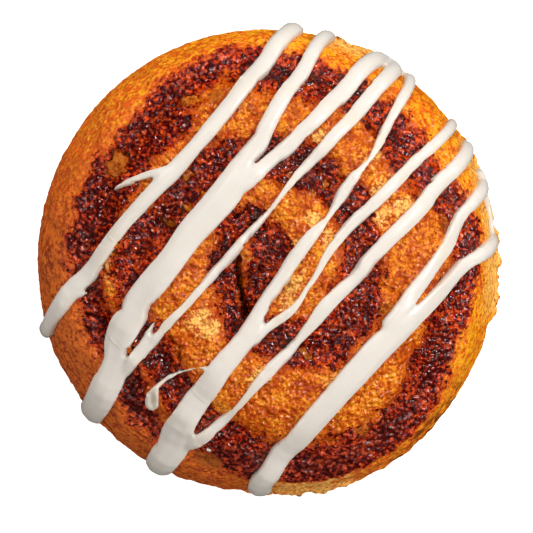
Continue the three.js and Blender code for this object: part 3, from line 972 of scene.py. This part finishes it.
@dataclass
class Icing:
    """The poured icing: one piece for each packed run, smoothed and bedded into the dough."""

    swirl: Swirl
    nodes: Sequence[str] = ("icing_left", "icing_middle", "icing_right", "icing_fleck")
    voxel_mm: float = 0.30
    rounds: int = 26
    bed_mm: float = 1.1
    faces: int = 190000
    bridge_mm: int = 7
    hollow_mm: float = 0.8
    map_half: int = 58
    grid_mm: float = 0.4
    above_mm: float = 60.0
    swell_rounds: int = 500
    flat_mm: float = 2.5
    aspect: float = 1.15
    uneven: Relief = Relief(0.25, 9.0, 2, 3.3)
    inner_mm: float = 43.0
    fade_mm: float = 5.0
    down_mm: float = 1.2
    up_mm: float = 2.6
    even_rounds: int = 6
    dome_rounds: int = 12
    flush_mm: float = 0.15
    clear_mm: float = 0.9
    bridged: Array | None = None

    def build(self) -> list[Mesh]:
        """Builds the runs.

        Returns:
            The finished meshes, in the order of nodes.
        """
        dough = self._tree(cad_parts["baked_roll"])
        self._map_bridges(dough)
        material = IcingFinish().material()
        return [self._run(node, dough, material) for node in self.nodes]

    def _swell(self, run: Mesh, gap: Array) -> None:
        """Gives a run's top the even swell of poured icing, on a dome that bridges the dough's grooves.

        Args:
            run: the run.
            gap: how far each vertex is from the dough, in millimetres.
        """
        points = run.points()
        low = points[:, :2].min(axis=0) - 1
        columns, rows = (np.ptp(points[:, :2], axis=0) / self.grid_mm + 6).astype(int)
        level = self._levels(self._tree(run.piece), low, self.grid_mm, (rows, columns))
        inside = ~np.isnan(level)
        inside[[0, -1]] = inside[:, [0, -1]] = False
        tension = np.zeros_like(level)
        for _ in range(self.swell_rounds):
            tension = np.where(inside, self._beside(tension) / 4 + 1, 0)
        half_round = np.sqrt(tension / 2) * self.grid_mm
        rise = self.flat_mm * np.tanh(self.aspect * half_round / self.flat_mm)
        up, across = np.indices(level.shape) * self.grid_mm + low[::-1, None, None]
        place = np.stack([across.ravel(), up.ravel(), np.zeros(level.size)], axis=1)
        base = self._sample(self.bridged, place, 1.0, (-self.map_half, -self.map_half)).reshape(level.shape)
        uneven = self.uneven.at(place).reshape(level.shape)
        inner = 1 - smoothstep(np.hypot(across, up), self.inner_mm, self.inner_mm + self.fade_mm)
        shift = np.where(inside, (base + rise + uneven - np.nan_to_num(level)) * inner, 0)
        shift = np.clip(shift, -self.down_mm, self.up_mm)
        weight = inside.astype(float)
        for _ in range(self.even_rounds):
            shift = (shift + self._beside(shift) * 0.25) / 2 * inside
            weight = (weight + self._beside(weight) * 0.25) / 2 * inside
        found = self._sample(shift / np.maximum(weight, 0.2), points, self.grid_mm, low)
        points[:, 2] += smoothed(found * smoothstep(gap, 0.35, 1.3), run.edges(), 5)
        run.move(points)

    def _levels(self, tree: BVHTree, low: Sequence[float], size_mm: float, shape: tuple[int, int]) -> Array:
        """How high some faces reach at each cell of a grid.

        Args:
            tree: the faces.
            low: x and y of the first cell.
            size_mm: the size of a cell.
            shape: how many rows and columns there are.

        Returns:
            The level of each cell, which isn't a number where there is no face.
        """
        level = np.full(shape, np.nan)
        for row, column in np.ndindex(*shape):
            place = Vector((low[0] + column * size_mm, low[1] + row * size_mm, self.above_mm))
            hit = tree.ray_cast(place * MM, Vector((0, 0, -1)))[0]
            if hit:
                level[row, column] = hit.z / MM
        return level

    @staticmethod
    def _beside(grid: Array) -> Array:
        """The sum of the four neighbours of each of a grid's cells."""
        total = np.zeros_like(grid)
        total[1:] += grid[:-1]
        total[:-1] += grid[1:]
        total[:, 1:] += grid[:, :-1]
        total[:, :-1] += grid[:, 1:]
        return total

    @staticmethod
    def _sample(grid: Array, points: Array, size_mm: float, low: Sequence[float]) -> Array:
        """Reads a grid between its cells.

        Args:
            grid: the grid, one row for each step of y.
            points: where to read it, one to a row.
            size_mm: the size of a cell.
            low: x and y of the first cell.

        Returns:
            The grid's value at each point.
        """
        x = np.clip((points[:, 0] - low[0]) / size_mm, 0, grid.shape[1] - 1.001)
        y = np.clip((points[:, 1] - low[1]) / size_mm, 0, grid.shape[0] - 1.001)
        column, row = x.astype(int), y.astype(int)
        u, v = x - column, y - row
        near = grid[row, column] * (1 - u) + grid[row, column + 1] * u
        far = grid[row + 1, column] * (1 - u) + grid[row + 1, column + 1] * u
        return near * (1 - v) + far * v

    def _map_bridges(self, dough: BVHTree) -> None:
        """Maps the dome that bridges the dough's grooves, on a grid of 1 mm.

        Args:
            dough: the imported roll's faces.
        """
        side = 2 * self.map_half + 1
        level = np.nan_to_num(self._levels(dough, (-self.map_half, -self.map_half), 1.0, (side, side)))
        bridged = -self._highest(-self._highest(level))
        for _ in range(self.dome_rounds):
            bridged[1:-1, 1:-1] = (bridged * 2 + self._beside(bridged))[1:-1, 1:-1] / 6
        self.bridged = bridged

    def _highest(self, level: Array) -> Array:
        """The highest of a grid within reach of each of its points.

        Args:
            level: the grid.

        Returns:
            A grid of the same size.
        """
        reach = self.bridge_mm
        padded = np.pad(level, reach, mode="edge")
        size = len(level)
        highest = level.copy()
        for row in range(-reach, reach + 1):
            for column in range(-reach, reach + 1):
                if row * row + column * column <= reach * reach:
                    part = padded[reach + row:reach + row + size, reach + column:reach + column + size]
                    highest = np.maximum(highest, part)
        return highest

    def _hollow(self, points: Array) -> Array:
        """How much points lie in the hollow at the end of the curl."""
        return spot_share((points - self.swirl.origin)[:, :2], [HOLLOW], 0.7)

    @staticmethod
    def _tree(*pieces: bpy.types.Object) -> BVHTree:
        """A search tree of some objects' faces.

        Args:
            pieces: the objects.

        Returns:
            The tree.
        """
        points: list[Vector] = []
        faces: list[list[int]] = []
        for piece in pieces:
            start = len(points)
            points += [vertex.co for vertex in piece.data.vertices]
            faces += [[start + k for k in face.vertices] for face in piece.data.polygons]
        return BVHTree.FromPolygons(points, faces)

    def _run(self, node: str, dough: BVHTree, material: Material) -> Mesh:
        """Builds one run.

        Args:
            node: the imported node.
            dough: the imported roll's faces.
            material: the icing's material.

        Returns:
            The finished mesh.
        """
        run = copy_of_node(node, node.replace("icing", "poured_icing"))
        run.modify("REMESH", mode="VOXEL", voxel_size=self.voxel_mm * MM)
        start = run.points()
        edges = run.edges()
        run.move(smoothed(start, edges, self.rounds))
        directions = run.normals()
        lost = np.einsum("ij,ij->i", start - run.points(), directions)
        points = run.points() + directions * smoothed(lost, edges, self.rounds)[:, None]

        gap = np.empty(len(points))
        inward = np.empty((len(points), 3))
        for k, point in enumerate(points):
            near, normal, _, distance = dough.find_nearest(Vector(point) * MM)
            gap[k] = distance / MM
            inward[k] = -normal
        bedded = smoothed(smoothstep(gap, 0.75, 0.4), edges, 2)
        points += inward * (self.bed_mm * bedded)[:, None]
        run.move(points)
        self._swell(run, gap)
        points = run.points()
        points -= run.normals() * (self.hollow_mm * self._hollow(points) * smoothstep(gap, 0.3, 0.7))[:, None]
        run.move(points)
        run.thin_to(self.faces)
        self._paint(run, dough)
        run.shade_smooth()
        run.data.materials.append(material)
        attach(run.piece, "root")
        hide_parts(node)
        return run

    def _paint(self, run: Mesh, dough: BVHTree) -> None:
        """Paints where a run is thin, and its wrinkles.

        Args:
            run: the run.
            dough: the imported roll's faces.
        """
        points = run.points()
        plan = (points - self.swirl.origin)[:, :2]
        gap = np.array([dough.find_nearest(Vector(point) * MM)[3] for point in points]) / MM
        run.paint(Layer.THIN, smoothstep(gap, 1.5, 0.2))
        nearest = np.min([self.swirl.to_line(plan, line) for line in WRINKLES], axis=0)
        run.paint(Layer.WRINKLE, smoothstep(nearest, 0.4, 0.05))

    def press(self, points: Array, height: Array) -> Array:
        """Keeps the dough's relief under the icing from coming through it.

        Args:
            points: points on the roll, one to a row.
            height: the relief there.

        Returns:
            The relief, held low under the icing.
        """
        icing = self._tree(*(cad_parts[node] for node in self.nodes))
        held = height.copy()
        for k, point in enumerate(points):
            if height[k] > self.flush_mm:
                near = icing.find_nearest(Vector(point) * MM, self.clear_mm * MM)[0]
                if near is not None:
                    held[k] = self.flush_mm
        return held


@dataclass(frozen=True)
class Lamp:
    """A square light that faces the roll. Only a lamp that glints shows in the gloss."""

    name: str
    place: tuple[float, float, float]
    size: float
    power: float
    glints: bool = False
    colour: Colour = (1.0, 0.97, 0.93)


@dataclass
class Studio:
    """A pale floor, soft lights and a camera that looks straight down."""

    lamps: Sequence[Lamp] = (
        Lamp("key", (0.36, 0.15, 0.44), 0.07, 1.9, True, (1.0, 0.99, 0.97)),
        Lamp("spark", (-0.25, 0.35, 0.6), 0.05, 0.5, True, (1.0, 0.99, 0.97)),
        Lamp("top", (0.1, 0.05, 0.9), 0.5, 0.7),
        Lamp("side", (0.5, -0.4, 0.3), 0.5, 1.8),
        Lamp("back", (0.0, 0.6, 0.3), 0.5, 2.5),
        Lamp("fill", (-0.6, -0.1, 0.4), 0.9, 1.7),
    )
    room_colour: Colour = (1.0, 0.95, 0.90)
    room_strength: float = 0.36
    view_width_mm: float = 121.1
    aim_mm: Pair = (-0.57, -1.48)
    aim_height_mm: float = 13.0
    lens_mm: float = 300.0
    sensor_mm: float = 36.0

    def build(self, swirl: Swirl) -> None:
        """Builds the floor, the lights and the camera.

        Args:
            swirl: the plan, which the camera's aim is measured from.
        """
        bpy.ops.object.select_all(action="DESELECT")
        bpy.ops.mesh.primitive_plane_add(size=3.0, location=(0, 0, -0.1 * MM))
        floor = bpy.context.object
        floor.name = "floor"
        floor.data.materials.append(FloorFinish().material())
        floor.visible_diffuse = False
        floor.visible_glossy = False
        for lamp in self.lamps:
            self._light(lamp)
        self._world()
        self._camera(swirl)
        bpy.context.scene.view_settings.view_transform = "Standard"

    @staticmethod
    def _light(lamp: Lamp) -> None:
        """Adds a light.

        Args:
            lamp: what it is like.
        """
        data = bpy.data.lights.new(lamp.name, "AREA")
        data.size = lamp.size
        data.energy = lamp.power
        data.color = lamp.colour
        light = bpy.data.objects.new(lamp.name, data)
        light.location = lamp.place
        light.rotation_euler = (Vector((0, 0, 0.02)) - Vector(lamp.place)).to_track_quat("-Z", "Y").to_euler()
        light.visible_glossy = lamp.glints
        bpy.context.scene.collection.objects.link(light)

    def _world(self) -> None:
        """Fills the room with an even soft light."""
        world = bpy.data.worlds.new("room")
        world.use_nodes = True
        background = world.node_tree.nodes["Background"]
        background.inputs["Color"].default_value = (*self.room_colour, 1)
        background.inputs["Strength"].default_value = self.room_strength
        bpy.context.scene.world = world
        world.cycles_visibility.glossy = False

    def _camera(self, swirl: Swirl) -> None:
        """Adds the camera.

        Args:
            swirl: the plan, which its aim is measured from.
        """
        data = bpy.data.cameras.new("camera")
        data.lens = self.lens_mm
        data.sensor_width = self.sensor_mm
        camera = bpy.data.objects.new("camera", data)
        distance = self.view_width_mm * self.lens_mm / self.sensor_mm
        place = swirl.origin + np.array([*self.aim_mm, self.aim_height_mm + distance])
        camera.location = Vector(place) * MM
        bpy.context.scene.collection.objects.link(camera)
        bpy.context.scene.camera = camera


def main() -> None:
    """Builds the roll piece by piece, then the studio."""
    logging.basicConfig(level=logging.INFO, format="%(relativeCreated)d ms %(message)s")
    swirl = Swirl()
    icing = Icing(swirl)
    for piece in [*icing.build(), *BakedRoll(swirl, icing).build()]:
        log.info("%s: %d faces", piece.piece.name, len(piece.data.polygons))
    Studio().build(swirl)


if __name__ == "__main__":
    main()
